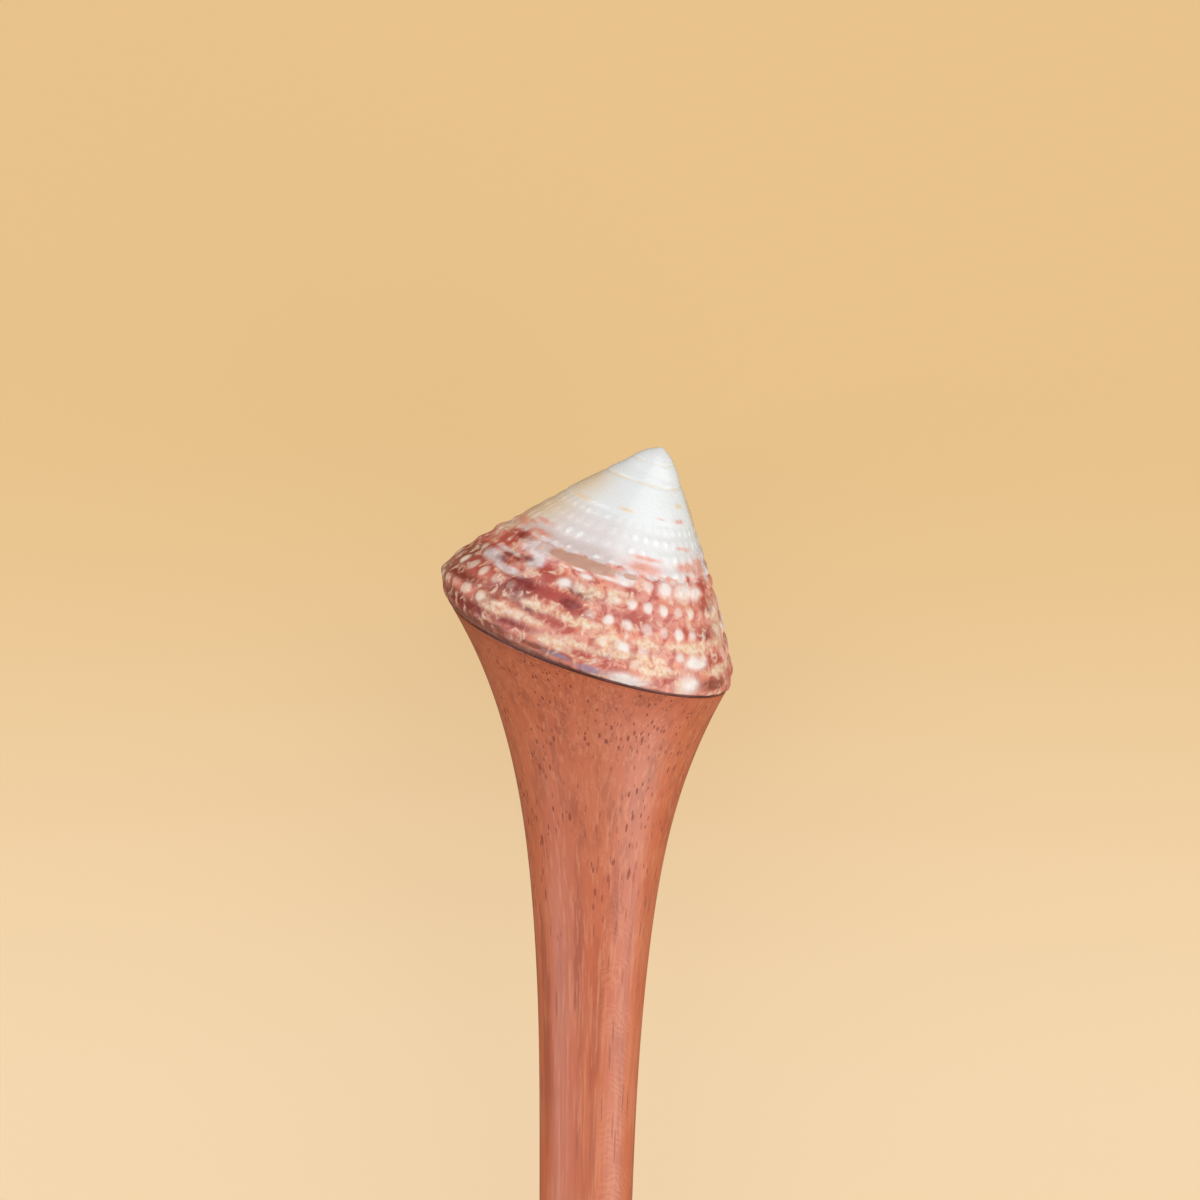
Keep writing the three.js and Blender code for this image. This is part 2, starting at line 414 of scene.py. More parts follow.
def make_shell(scene, material):
    sizes = scene.shell_sizes
    steps, rings = SHELL_MESH[bool(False)]
    bm = shell_blank(sizes, steps, rings)
    layers = {name: bm.verts.layers.float.new(name)
              for name in ("bead", "bead_tone", "suture", *MARKS)}
    for vert in bm.verts:
        if math.hypot(vert.co.x, vert.co.y) < NEAR_AXIS or vert.co.z <= -sizes.end_depth:
            continue
        front = math.degrees(math.atan2(vert.co.x, -vert.co.y))
        spiral = Spiral(sizes, front, -vert.co.z)
        height, bead, tone, groove = shell_relief(sizes, spiral, vert.co)
        vert[layers["bead"]] = bead
        vert[layers["bead_tone"]] = tone
        vert[layers["suture"]] = groove
        for kind, marks in MARKS.items():
            vert[layers[kind]] = mark_strength(marks, front, spiral.height)
        push_out(vert, height)
    bmesh.ops.transform(bm, matrix=shell_place(scene), verts=bm.verts[:])
    head = head_place(scene)
    seam = head @ Vector((0, 0, sizes.flat_gap))
    square = (head.to_3x3() @ Vector((0, 0, 1))).normalized()
    for place, direction in ((seam, square), (Vector((0, 0, 0)), Vector((0, 0, 1)))):
        cut = bmesh.ops.bisect_plane(bm, geom=bm.verts[:] + bm.edges[:] + bm.faces[:], dist=1e-8,
                                     plane_co=place, plane_no=direction, clear_inner=True)
        rim = [item for item in cut["geom_cut"] if isinstance(item, bmesh.types.BMEdge)]
        bmesh.ops.contextual_create(bm, geom=rim)
    bmesh.ops.recalc_face_normals(bm, faces=bm.faces[:])
    return finished(bm, "top_shell_surface", material, "top_shell")


def make_stick(scene, material):
    sizes = scene.stick_sizes
    steps, rings = STICK_MESH[bool(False)]
    outline = [(0.0, 0.0)]
    rounding = sizes.tip_rounding
    for i in range(rings + 1):
        down = (sizes.stick_length - rounding) * (i / rings) ** 1.4
        outline.append((stick_radius(sizes, down), -down))
    for i in range(1, TIP_STEPS):
        turn = i / TIP_STEPS * math.pi / 2
        down = sizes.stick_length - rounding * (1 - math.sin(turn))
        outline.append((stick_radius(sizes, down), -down))
    outline.append((0.0, -sizes.stick_length))
    bm = spun(outline, steps)
    for vert in bm.verts:
        down = -vert.co.z
        fade = smooth(down, 0, 0.002)
        long_noise = Vector((vert.co.x, vert.co.y, vert.co.z * 0.35))
        uneven = sizes.carving * ripple(long_noise, 0.004, 2.2) * fade
        vert.co.z = 0
        if vert.co.length > NEAR_AXIS:
            push_out(vert, uneven)
        vert.co = section_place(sizes, down) @ vert.co
    bmesh.ops.transform(bm, matrix=stick_place(scene), verts=bm.verts[:])
    return finished(bm, "wooden_stick_surface", material, "wooden_stick")


def make_glue(scene, material):
    """A thin squeezed-out bead of glue that follows the seam unevenly."""
    sizes, gap = scene.stick_sizes, scene.shell_sizes.flat_gap
    edge = sizes.rim_radius - 0.02 * MM
    outline = [(0.0, 0.02 * gap)]
    for i in range(GLUE_ROUNDING_STEPS + 1):
        turn = math.pi * (i / GLUE_ROUNDING_STEPS - 0.5)
        outline.append((edge - gap / 2 + gap / 2 * math.cos(turn),
                        gap / 2 * (1 + 0.94 * math.sin(turn))))
    outline.append((0.0, 0.98 * gap))
    bm = spun(outline, GLUE_STEPS)
    for vert in bm.verts:
        flat = Vector((vert.co.x, vert.co.y, 0))
        if flat.length > edge / 2:
            squeezed = 0.06 * ripple(flat, 0.003, 4.4) + 0.03 * ripple(flat, 0.0008, 8.2)
            push_out(vert, squeezed * MM)
    bmesh.ops.transform(bm, matrix=head_place(scene), verts=bm.verts[:])
    return finished(bm, "glue_seam_surface", material, "glue_seam")


# ---- Material helpers

FLOAT, VECTOR = "NodeSocketFloat", "NodeSocketVector"

# A Mix node keeps its sockets for every kind of data; these are the colour ones.
COLOUR_A, COLOUR_RESULT = 6, 2


class Nodes:
    """A node tree with short ways to add and join nodes."""

    def __init__(self, tree):
        self.tree = tree

    def add(self, kind, values=(), **settings):
        node = self.tree.nodes.new(kind)
        for key, value in settings.items():
            setattr(node, key, value)
        for index, value in enumerate(values):
            self.feed(node.inputs[index], value)
        return node

    def feed(self, socket, value):
        if isinstance(value, bpy.types.NodeSocket):
            self.tree.links.new(value, socket)
        elif value is not None:
            socket.default_value = value

    def math(self, operation, *values, clamped=False):
        return self.add("ShaderNodeMath", values, operation=operation,
                        use_clamp=clamped).outputs["Value"]

    def share(self, mask, amount):
        """Part of a mask, or where two masks overlap."""
        return self.math("MULTIPLY", mask, amount)

    def between(self, value, low, high):
        """0 below low and 1 above high, with a soft step between; low may be above high."""
        node = self.add("ShaderNodeMapRange", interpolation_type="SMOOTHSTEP")
        swapped = low > high
        self.feed(node.inputs["Value"], value)
        node.inputs["From Min"].default_value = min(low, high)
        node.inputs["From Max"].default_value = max(low, high)
        node.inputs["To Min"].default_value = 1.0 if swapped else 0.0
        node.inputs["To Max"].default_value = 0.0 if swapped else 1.0
        return node.outputs["Result"]

    def mix(self, share, first, second):
        node = self.add("ShaderNodeMix", data_type="RGBA")
        self.feed(node.inputs["Factor"], share)
        for socket, value in zip(node.inputs[COLOUR_A:], (first, second)):
            if not isinstance(value, bpy.types.NodeSocket):
                value = (*value, 1.0)
            self.feed(socket, value)
        return node.outputs[COLOUR_RESULT]

    def over(self, below, above, mask, amount=1.0):
        """Lays a colour over another where the mask shows, at most by the given amount."""
        if amount != 1.0:
            mask = self.share(mask, amount)
        return self.mix(mask, below, above)

    def noise(self, vector, scale, detail=2.0, roughness=0.5, distortion=0.0):
        """Cloudy noise around 0.5; scale counts its bumps in one unit of the vector."""
        node = self.add("ShaderNodeTexNoise")
        self.feed(node.inputs["Vector"], vector)
        node.inputs["Scale"].default_value = scale
        node.inputs["Detail"].default_value = detail
        node.inputs["Roughness"].default_value = roughness
        node.inputs["Distortion"].default_value = distortion
        return node.outputs["Fac"]

    def spots(self, vector):
        """Distance to the nearest of many scattered points, one to each unit cell."""
        node = self.add("ShaderNodeTexVoronoi", feature="F1")
        self.feed(node.inputs["Vector"], vector)
        node.inputs["Scale"].default_value = 1.0
        return node.outputs["Distance"]

    def combine(self, *values):
        """A vector from its three parts."""
        return self.add("ShaderNodeCombineXYZ", values).outputs["Vector"]

    def bump(self, height, strength, distance):
        node = self.add("ShaderNodeBump")
        node.inputs["Strength"].default_value = strength
        node.inputs["Distance"].default_value = distance
        self.feed(node.inputs["Height"], height)
        return node.outputs["Normal"]


def new_group(name, inputs, outputs):
    """A shader node group: inputs are (name, kind, default) and outputs (name, kind)."""
    tree = bpy.data.node_groups.new(name, "ShaderNodeTree")
    for socket_name, kind, default in inputs:
        socket = tree.interface.new_socket(socket_name, in_out="INPUT", socket_type=kind)
        if default is not None:
            socket.default_value = default
    for socket_name, kind in outputs:
        tree.interface.new_socket(socket_name, in_out="OUTPUT", socket_type=kind)
    source = tree.nodes.new("NodeGroupInput")
    target = tree.nodes.new("NodeGroupOutput")
    return tree, Nodes(tree), source.outputs, target.inputs


def place_group(nodes, tree, values):
    """Puts a group into a node tree, fed by socket name, and gives its outputs."""
    node = nodes.add("ShaderNodeGroup", node_tree=tree)
    for name, value in values.items():
        nodes.feed(node.inputs[name], value)
    return node.outputs


def own_place(nodes, place):
    """Object coordinates in the piece's own frame, in millimetres."""
    node = nodes.add("ShaderNodeMapping", vector_type="TEXTURE")
    nodes.feed(node.inputs["Vector"], nodes.add("ShaderNodeTexCoord").outputs["Object"])
    node.inputs["Location"].default_value = place.translation
    node.inputs["Rotation"].default_value = place.to_euler("XYZ")
    node.inputs["Scale"].default_value = (MM,) * 3
    return node.outputs["Vector"]


def new_material(name):
    """A material with its node helper and its Principled shader."""
    material = bpy.data.materials.new(name)
    material.use_nodes = True
    return material, Nodes(material.node_tree), material.node_tree.nodes["Principled BSDF"]


WEAR_GROUP = "Handling wear"
SEAM_GLUE_AND_SHADOW_GROUP = "Seam stain"


def wear_group():
    """Fine dust and wear, shared by every finish: a broad mask and a fine grain."""
    tree, nodes, source, target = new_group(
        WEAR_GROUP,
        [("Place", VECTOR, None)],
        [("Broad", FLOAT), ("Fine", FLOAT)])
    nodes.feed(target["Broad"], nodes.noise(source["Place"], 0.45, 3.0, 0.55))
    nodes.feed(target["Fine"], nodes.noise(source["Place"], 6.0, 4.0, 0.6))


def seam_glue_and_shadow_group(gap):
    """Glue and dirt along the seam, with painted shadow under the shell's overhang that widens
    it on the left, from a place in the head's frame.
    """
    tree, nodes, source, target = new_group(
        SEAM_GLUE_AND_SHADOW_GROUP, [("Place", VECTOR, None)], [("Mask", FLOAT)])
    split = nodes.add("ShaderNodeSeparateXYZ", [source["Place"]]).outputs
    off = nodes.math("ABSOLUTE", nodes.math("SUBTRACT", split["Z"], gap / MM / 2))
    # Painted shadow: the band widens on the left, under the shell's overhang.
    left = nodes.between(split["X"], 3.0, -8.0)
    uneven = nodes.noise(source["Place"], 1.1, 3.0, 0.6)
    width = nodes.math("MULTIPLY_ADD", left, 0.45, nodes.math("MULTIPLY", uneven, 0.55))
    nodes.feed(target["Mask"], nodes.math("DIVIDE", nodes.math("SUBTRACT", width, off), 0.22,
                                          clamped=True))


def wear_at(nodes, place):
    """Broad and fine wear masks at a place in millimetres."""
    return place_group(nodes, bpy.data.node_groups[WEAR_GROUP], {"Place": place})


def seam_glue_and_painted_shadow(nodes, scene):
    """How strongly the seam's glue and dirt, with their painted shadow on the left, show at a
    point of any piece.
    """
    place = own_place(nodes, head_place(scene))
    return place_group(nodes, bpy.data.node_groups[SEAM_GLUE_AND_SHADOW_GROUP], {"Place": place})["Mask"]


# ---- Shell finish

def spiral_group(sizes):
    """Turns a place on the shell into its front angle and its height on the spiral."""
    tree, nodes, source, target = new_group(
        "Spiral place",
        [("Place", VECTOR, None)],
        [("Front", FLOAT), ("Height", FLOAT)])
    split = nodes.add("ShaderNodeSeparateXYZ", [source["Place"]]).outputs
    back = nodes.math("MULTIPLY", split["Y"], -1.0)
    front = nodes.math("MULTIPLY", nodes.math("ARCTAN2", split["X"], back), 180 / math.pi)
    depth = nodes.math("MAXIMUM", nodes.math("MULTIPLY", split["Z"], -1.0), 0.01)
    ratio = nodes.math("DIVIDE", depth, sizes.first_suture / MM)
    growth = nodes.math("SUBTRACT", nodes.math("POWER", ratio, sizes.spiral_power), 1.0)
    turns = nodes.math("DIVIDE", growth, sizes.spiral_growth)
    start = nodes.math("SUBTRACT", front, SPIRAL_START)
    nodes.feed(target["Front"], front)
    nodes.feed(target["Height"], nodes.math("ADD", turns, nodes.math("DIVIDE", start, 360.0)))
    return tree


def ragged_group():
    """Cuts a soft mark into a ragged one with noise. A softness over 0.5 would leave a trace
    of the mark everywhere."""
    tree, nodes, source, target = new_group(
        "Ragged mark",
        [("Mark", FLOAT, 0.0), ("Noise", FLOAT, 0.5), ("Raggedness", FLOAT, 2.0),
         ("Softness", FLOAT, 0.4)],
        [("Mask", FLOAT)])
    uneven = nodes.math("SUBTRACT", source["Noise"], 0.5)
    swing = nodes.math("MULTIPLY", uneven, source["Raggedness"])
    torn = nodes.math("MULTIPLY_ADD", source["Mark"], swing, source["Mark"])
    above = nodes.math("SUBTRACT", torn, 0.5)
    share = nodes.math("DIVIDE", above, source["Softness"])
    nodes.feed(target["Mask"], nodes.math("MULTIPLY_ADD", share, 0.5, 0.5, clamped=True))
    return tree


# Marks listed by colour: each is its front angle in degrees, its height on the
# spiral in whorls, its half width in degrees and its half height in whorls.
MARKS = {
    "rose_mark": (
        (-64, 3.12, 10, 0.17), (-68, 3.42, 6, 0.10), (-66, 3.64, 20, 0.10), (-31, 3.40, 9, 0.14),
        (-14, 3.46, 12, 0.10), (-22, 3.62, 13, 0.11), (-8, 3.70, 7, 0.09),
        (12, 3.24, 4, 0.05), (25, 3.25, 3, 0.04), (66, 3.30, 10, 0.15),
        (55, 2.93, 12, 0.05), (64, 3.02, 6, 0.10), (64, 3.66, 14, 0.09),
        (61, 4.00, 8, 0.08), (-2, 4.18, 8, 0.035), (9, 4.12, 6, 0.04),
        (-27, 4.11, 10, 0.06), (36, 4.22, 4, 0.08), (17, 3.60, 8, 0.10),
        (-15, 3.93, 8, 0.06), (-120, 3.5, 40, 0.35), (130, 3.6, 40, 0.3),
        (-170, 4.1, 30, 0.2)),
    "maroon_mark": (
        (-36, 3.62, 8, 0.09), (-38, 3.78, 9, 0.11), (-33, 3.72, 6, 0.06),
        (-12, 3.47, 4, 0.05), (-8, 3.50, 2.5, 0.05), (-12, 3.65, 4, 0.06),
        (-26, 3.87, 4, 0.05), (-28, 4.12, 6, 0.025), (-52, 4.16, 16, 0.05),
        (-67, 3.88, 10, 0.04), (57, 3.70, 4, 0.05), (66, 3.38, 4, 0.04),
        (-140, 3.7, 15, 0.15), (150, 3.4, 14, 0.12), (110, 3.9, 18, 0.1)),
    "ink_mark": (
        (-58, 3.02, 5, 0.06), (-50, 3.43, 6, 0.06), (-44, 3.30, 5, 0.04),
        (-53, 3.36, 4, 0.03), (-47, 3.36, 4, 0.03)),
    # Brown marks near the seam, and painted shade down the shell's left side.
    "brown_and_painted_shade_mark": (
        (-62, 4.12, 22, 0.08), (-45, 4.26, 34, 0.05), (-76, 3.60, 12, 0.22),
        (-66, 3.86, 20, 0.07), (-44, 3.98, 5, 0.07), (-80, 3.85, 14, 0.25),
        (62, 4.28, 12, 0.07), (-13, 4.27, 9, 0.04), (-120, 4.2, 40, 0.1),
        (130, 4.3, 40, 0.08)),
    # Cream clouds and flecks, and tall marks along the right edge that are a painted rim light.
    "cream_and_rim_light_mark": (
        (-6, 3.42, 5, 0.09), (4, 3.40, 4, 0.10), (-30, 4.00, 10, 0.06),
        (-20, 3.82, 10, 0.05), (-4, 3.82, 12, 0.05), (20, 4.05, 12, 0.07),
        (-38, 4.06, 6, 0.04), (24, 3.88, 6, 0.05), (8, 3.95, 6, 0.07),
        (74, 3.55, 8, 0.3), (46, 3.85, 14, 0.05), (68, 3.80, 12, 0.04),
        (-12, 4.15, 6, 0.05), (28, 4.14, 10, 0.06), (70, 4.12, 12, 0.05),
        (-82, 3.02, 9, 0.12), (3, 4.09, 12, 0.04), (-160, 3.9, 30, 0.2),
        (100, 3.5, 12, 0.3), (-105, 3.9, 15, 0.12)),
    "bead_mark": (
        (30, 3.42, 23, 0.12), (30, 3.68, 22, 0.11), (2, 3.68, 8, 0.07),
        (-15, 3.42, 7, 0.07), (-63, 3.72, 20, 0.15), (-52, 3.98, 11, 0.08),
        (-77, 4.00, 9, 0.05), (16, 3.95, 12, 0.05), (45, 3.96, 9, 0.06),
        (-72, 3.44, 4, 0.07), (72, 3.4, 5, 0.06), (20, 3.12, 5, 0.09),
        (-130, 3.7, 40, 0.4), (120, 3.7, 45, 0.5), (180, 3.8, 40, 0.5),
        (-180, 3.8, 40, 0.5)),
    "salmon_mark": (
        (48, 1.84, 6, 0.045), (24, 1.83, 4, 0.015),
        (-58, 2.66, 7, 0.045), (-66, 2.76, 5, 0.03), (-53, 2.86, 8, 0.055),
        (-78, 2.85, 10, 0.10), (17, 2.85, 11, 0.10), (17, 2.68, 9, 0.04),
        (64, 2.76, 11, 0.16), (50, 2.74, 9, 0.09), (45, 2.40, 4, 0.025),
        (54, 2.42, 3, 0.04), (60, 2.92, 14, 0.06), (34, 2.945, 18, 0.010),
        (-100, 2.7, 15, 0.2), (110, 2.75, 30, 0.15), (170, 2.8, 30, 0.12)),
    "pearl_mark": (
        (-43, 3.09, 12, 0.12), (-38, 3.30, 4, 0.12), (-60, 3.46, 7, 0.09),
        (-47, 3.54, 8, 0.05), (-56, 3.31, 9, 0.03), (7, 3.06, 6, 0.11),
        (-110, 3.2, 12, 0.1), (160, 3.15, 14, 0.1)),
    # White worn spots, and small painted highlights near 3.15 to 3.23 whorls.
    "white_and_glint_mark": (
        (44, 3.12, 6.5, 0.125), (54, 3.13, 5, 0.10), (31, 3.11, 4, 0.11),
        (49, 4.02, 6, 0.07), (45, 4.29, 5, 0.11), (19, 4.34, 7, 0.08),
        (-19, 3.41, 3, 0.06), (-17, 3.155, 3.5, 0.022), (-12, 3.225, 3, 0.035),
        (-2, 3.145, 6, 0.028), (7, 3.15, 2.5, 0.03), (-24, 3.19, 2, 0.015)),
    # Painted reflection: a brown patch on the polished nacre where it mirrors dark surroundings.
    "mirror_painted_reflection_mark": ((-17, 3.045, 20, 0.095), (9, 3.03, 4, 0.04)),
    "violet_mark": ((4, 4.33, 5, 0.045), (-8, 4.28, 5, 0.02)),
    "pink_mark": (
        (15, 3.10, 9, 0.20), (24, 3.55, 16, 0.16), (-3, 4.02, 10, 0.06),
        (30, 3.92, 14, 0.06), (32, 4.28, 5, 0.09), (48, 3.60, 12, 0.3)),
    # Tan stains, and wide marks along the left and right edges that are painted reflection of
    # the warm surroundings.
    "tan_and_edge_reflection_mark": (
        (-80, 1.50, 30, 0.5), (-88, 2.30, 34, 0.45), (84, 1.7, 9, 0.5), (-60, 1.90, 16, 0.08),
        (-88, 2.75, 18, 0.2), (-10, 1.82, 7, 0.04), (180, 1.8, 40, 0.3),
        (52, 1.45, 6, 0.06)),
}


class ShellNodes(Nodes):
    """The shell's node tree with the patterns that all its layers share."""

    def __init__(self, tree, scene):
        super().__init__(tree)
        self.place = own_place(self, shell_place(scene))
        spiral = place_group(self, spiral_group(scene.shell_sizes), {"Place": self.place})
        self.front, self.height = spiral["Front"], spiral["Height"]
        self.ragged = ragged_group()
        self.bead = self.attribute("bead")
        self.bead_tone = self.attribute("bead_tone")
        self.suture = self.attribute("suture")
        self.torn = self.noise(self.place, 0.95, 3.0, 0.5, 0.3)
        self.torn_too = self.noise(self.place, 1.25, 3.0, 0.5, 0.5)
        self.lacy = self.noise(self.place, 1.15, 3.0, 0.55, 0.85)
        self.fine = self.noise(self.place, 3.2, 2.0, 0.5, 0.3)
        self.broad = self.noise(self.place, 0.45, 3.0, 0.6)

    def attribute(self, name):
        return self.add("ShaderNodeAttribute", attribute_name=name).outputs["Fac"]

    def mark(self, kind, uneven, raggedness, softness):
        """One kind of the listed marks, torn at its edges by a noise."""
        return place_group(self, self.ragged, {
            "Mark": self.attribute(kind), "Noise": uneven, "Raggedness": raggedness,
            "Softness": softness})["Mask"]


def coloured_layer(nodes, looks):
    """Salmon and pink ground with rose, maroon and brown marks under cream clouds; the brown
    down the left side is painted shade and the cream along the right edge a painted rim light.
    """
    share, over, mark, between = nodes.share, nodes.over, nodes.mark, nodes.between
    lacy, fine = nodes.lacy, nodes.fine
    ground = nodes.mix(between(nodes.torn, 0.42, 0.58), looks.salmon, looks.pink)
    ground = over(ground, looks.pink, mark("pink_mark", nodes.torn, 2.0, 0.4), 0.85)
    red_island = share(between(lacy, 0.53, 0.60), between(nodes.broad, 0.36, 0.50))
    ground = over(ground, looks.rose, red_island, 0.75)
    ground = over(ground, looks.rose, mark("rose_mark", lacy, 3.2, 0.4))
    # Brown marks, partly painted shade down the shell's left side.
    ground = over(ground, looks.brown, mark("brown_and_painted_shade_mark", nodes.torn_too, 2.2, 0.5), 0.9)
    ground = over(ground, looks.maroon, mark("maroon_mark", lacy, 3.2, 0.45), 0.85)
    ground = over(ground, looks.rose, between(fine, 0.42, 0.30), 0.45)
    pale = nodes.math("SUBTRACT", 1.0, lacy)
    clouded = over(looks.cream, looks.bead, between(fine, 0.46, 0.66), 0.6)
    clouded = over(clouded, looks.salmon, between(fine, 0.46, 0.36), 0.45)
    ground = over(ground, clouded, between(pale, 0.53, 0.66), 0.62)
    # Cream clouds and flecks, partly a painted rim light along the right edge.
    return over(ground, clouded, mark("cream_and_rim_light_mark", pale, 3.2, 0.48), 0.82)


def bead_tops(nodes, looks, ground):
    """Pale bead tops, each a little different, with painted shade darkening the groove round
    them.
    """
    share, between = nodes.share, nodes.between
    uneven = nodes.math("MULTIPLY_ADD", nodes.bead_tone, 0.3, 0.7)
    shown = share(nodes.mark("bead_mark", nodes.torn, 0.9, 0.3), uneven)
    top = share(between(nodes.bead, 0.30, 0.92), shown)
    # Painted shade: the groove round each bead is darkened in the colour.
    painted_groove_shade = share(between(nodes.bead, 0.30, 0.05), shown)
    pale = nodes.mix(between(nodes.front, 12.0, -20.0), looks.bead, looks.cream_bead)
    return nodes.over(nodes.over(ground, looks.rose, painted_groove_shade, 0.30), pale, top, 0.96)


def nacre_layer(nodes, looks):
    """White nacre, pearly lower down on the left, with stains, painted reflection along its
    edges, painted highlights on the bead tops, a painted dark reflection band and painted shade
    between the beads.
    """
    share, over, between = nodes.share, nodes.over, nodes.between
    front, height, bead = nodes.front, nodes.height, nodes.bead
    pearly = share(between(height, 1.85, 2.5), between(front, 22.0, -22.0))
    nacre = over(looks.nacre, looks.pearl, pearly, 0.85)
    # Painted reflection: a mauve band painted where the gloss mirrors dark surroundings.
    painted_dark_reflection = share(between(height, 2.62, 2.80), between(front, 10.0, -14.0))
    nacre = over(nacre, looks.mauve_tone_and_painted_shade, painted_dark_reflection, 0.8)
    # Painted highlights: glints painted on the bead tops of the nacre, except at the far left.
    glint = share(between(bead, 0.58, 0.9), between(nodes.bead_tone, 0.05, 0.35))
    nacre = over(nacre, looks.glint, share(glint, between(front, -72.0, -62.0)), 0.7)
    # Painted shade: the gaps between the beads on the nacre are darkened.
    painted_shade_between_beads = share(between(bead, 0.5, 0.1), between(height, 1.98, 2.08))
    nacre = over(nacre, looks.mauve_tone_and_painted_shade, painted_shade_between_beads, 0.16)
    # Tan stains and, along the edges, painted reflection of the warm surroundings.
    nacre = over(nacre, looks.tan, nodes.mark("tan_and_edge_reflection_mark", nodes.broad, 1.2, 0.45), 0.85)
    worn_line = share(between(nodes.suture, 0.2, 0.7), between(nodes.broad, 0.36, 0.54))
    nacre = over(nacre, looks.tan, worn_line, 0.6)
    nacre = over(nacre, looks.salmon, nodes.mark("salmon_mark", nodes.lacy, 2.8, 0.5), 0.8)
    reddened = share(between(nodes.torn_too, 0.54, 0.66), between(height, 2.55, 2.9))
    return over(nacre, looks.rose, share(reddened, between(front, 38.0, 50.0)), 0.7)


def make_shell_material(scene):
    looks = scene.hair_stick_finishes
    material, _, shader = new_material("Worn top shell")
    nodes = ShellNodes(material.node_tree, scene)
    share, over, mark = nodes.share, nodes.over, nodes.mark

    # The coloured layer has worn through to the nacre above the last whorl and a half.
    uneven = nodes.math("SUBTRACT", nodes.torn, 0.5)
    edge = nodes.math("MULTIPLY_ADD", uneven, 0.55, nodes.height)
    worn = nodes.between(edge, 3.00, 2.90)
    coloured = bead_tops(nodes, looks, coloured_layer(nodes, looks))
    skin = nodes.mix(worn, coloured, nacre_layer(nodes, looks))

    # Worn spots lower down show the nacre as pearl, white, brown mirror and violet; some small
    # white spots are painted highlights, and the brown mirror is painted reflection of dark
    # surroundings.
    pearl = mark("pearl_mark", nodes.lacy, 3.4, 0.3)
    dull = nodes.mix(nodes.between(nodes.torn_too, 0.40, 0.56), looks.pearl, looks.mauve_tone_and_painted_shade)
    skin = over(skin, dull, pearl, 0.9)
    # White worn spots, partly small painted highlights on the beads.
    skin = over(skin, looks.bead, mark("white_and_glint_mark", nodes.lacy, 2.4, 0.4), 0.92)
    skin = over(skin, looks.maroon, mark("ink_mark", nodes.torn_too, 3.0, 0.5), 0.85)
    # Painted reflection: a brown patch painted on the polished, smoother nacre.
    mirror = mark("mirror_painted_reflection_mark", nodes.torn, 1.3, 0.12)
    skin = over(skin, looks.mirror, mirror)
    skin = over(skin, looks.violet, mark("violet_mark", nodes.torn, 1.4, 0.35), 0.75)
    # Glue at the seam, with painted shadow under the shell's overhang on the left.
    skin = over(skin, looks.glue, seam_glue_and_painted_shadow(nodes, scene), 0.65)
    nodes.feed(shader.inputs["Base Color"], skin)

    rough = nodes.math("MULTIPLY_ADD", wear_at(nodes, nodes.place)["Fine"], 0.16, 0.20)
    rough = nodes.math("MULTIPLY_ADD", nodes.math("SUBTRACT", 1.0, worn), 0.10, rough)
    rough = nodes.math("MULTIPLY_ADD", mirror, -0.14, rough)
    nodes.feed(shader.inputs["Roughness"], rough)
    grain = nodes.math("MULTIPLY_ADD", nodes.torn_too, 0.8, nodes.fine)
    relief = share(grain, nodes.math("MULTIPLY_ADD", worn, -0.85, 1.0))
    nodes.feed(shader.inputs["Normal"], nodes.bump(relief, 0.35, 0.00010))
    bare = nodes.math("MAXIMUM", nodes.math("MAXIMUM", worn, pearl), mirror)
    nodes.feed(shader.inputs["Coat Weight"], nodes.math("MULTIPLY_ADD", bare, 0.27, 0.08))
    shader.inputs["Coat Roughness"].default_value = 0.17
    shader.inputs["IOR"].default_value = 1.50
    return material


# ---- Wood and glue finishes

def pore_group():
    """Open pores drawn out along the grain, with soft round ends."""
    tree, nodes, source, target = new_group(
        "Wood pores",
        [("Place", VECTOR, None), ("Across", FLOAT, 1.0), ("Along", FLOAT, 1.0),
         ("Width", FLOAT, 0.1)],
        [("Mask", FLOAT)])
    split = nodes.add("ShaderNodeSeparateXYZ", [source["Place"]]).outputs
    stretched = nodes.combine(nodes.share(split["X"], source["Across"]),
                              nodes.share(split["Y"], source["Across"]),
                              nodes.share(split["Z"], source["Along"]))
    inside = nodes.math("SUBTRACT", source["Width"], nodes.spots(stretched))
    nodes.feed(target["Mask"], nodes.math("DIVIDE", inside, 0.05, clamped=True))
    return tree


def wood_grain(nodes, looks, place, split):
    """Dark and light streaks, pale lines down the middle and a curly figure on the right."""
    share, over, between = nodes.share, nodes.over, nodes.between
    side, up = split["X"], split["Z"]
    long_grain = nodes.combine(side, split["Y"], share(up, 0.035))
    streak = nodes.noise(long_grain, 3.2, 4.0, 0.65)
    grain = between(nodes.noise(long_grain, 1.1, 5.0, 0.6, 0.2), 0.36, 0.54)
    wood = nodes.mix(grain, looks.wood_dark, looks.wood)
    wood = over(wood, looks.wood_light, between(streak, 0.48, 0.7), 0.7)
    wood = over(wood, looks.wood_light, between(nodes.noise(place, 0.16, 2.0), 0.35, 0.65), 0.25)
    lines = between(nodes.noise(long_grain, 6.5, 2.0), 0.55, 0.66)
    middle = between(nodes.math("ABSOLUTE", side), 2.4, 0.8)
    wood = over(wood, looks.wood_light, share(lines, middle), 0.45)

    # The curly figure: nested arcs, one above the other.
    aside = nodes.math("SUBTRACT", side, 1.5)
    arch = share(share(aside, aside), 8.0)
    wander = share(nodes.noise(place, 0.8, 3.0, 0.6), 24.0)
    phase = nodes.math("MULTIPLY_ADD", up, 12.0, nodes.math("ADD", arch, wander))
    curl = nodes.math("MULTIPLY_ADD", nodes.math("SINE", phase), 0.5, 0.5)
    figured = share(between(side, 0.1, 1.2), between(up, -14.0, -24.0))
    figured = share(figured, between(nodes.noise(place, 0.45, 1.0), 0.36, 0.56))
    return over(wood, looks.wood_light, share(curl, figured), 0.42), streak


